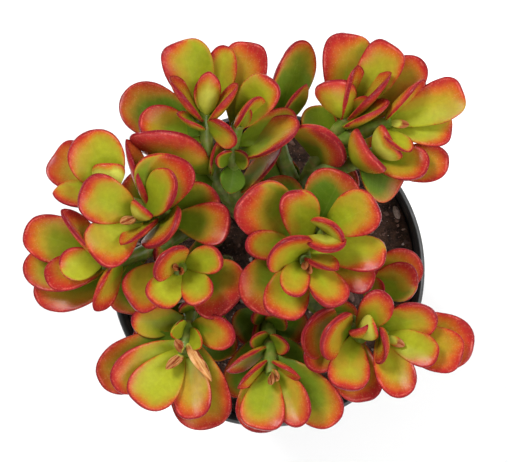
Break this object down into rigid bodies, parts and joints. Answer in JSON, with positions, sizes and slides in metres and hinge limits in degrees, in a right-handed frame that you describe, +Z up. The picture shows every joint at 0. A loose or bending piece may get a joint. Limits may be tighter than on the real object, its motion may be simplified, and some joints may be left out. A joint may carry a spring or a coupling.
{
  "type": "potted jade plant",
  "caption": "Compact jade plant with thick rounded green leaves edged in red, growing as leaning rosettes over a plain round black nursery pot.",
  "frame": {"origin": "centre of the pot's foot, on the surface that the pot stands on", "axes": "+Z up along the pot's own axis, +X to the picture's right, +Y to the picture's top"},
  "size_m": [0.149, 0.1328, 0.1535],
  "materials": {
    "pot_plastic": "thin moulded black plastic, slightly glossy",
    "soil": "loose dark peat and bark potting mix, matt",
    "leaf_back_left": "living leaf and stem, waxy satin, yellow-green with red edges",
    "leaf_left": "living leaf and stem, waxy satin, yellow-green with red edges",
    "leaf_middle_left": "living leaf and stem, waxy satin, yellow-green with red edges",
    "leaf_front": "living leaf and stem, waxy satin, yellow-green with red edges",
    "leaf_right": "living leaf and stem, waxy satin, yellow-green with red edges",
    "leaf_centre": "living leaf and stem, waxy satin, yellow-green with red edges",
    "leaf_back_right": "living leaf and stem, waxy satin, yellow-green with red edges"
  },
  "bodies": {
    "root": {"pot": "pot_plastic", "soil": "soil", "stem_back_left": "leaf_back_left", "stem_left": "leaf_left", "stem_middle_left": "leaf_middle_left", "stem_front": "leaf_front", "stem_right": "leaf_right", "stem_centre": "leaf_centre", "stem_back_right": "leaf_back_right"}
  },
  "joints": []
}
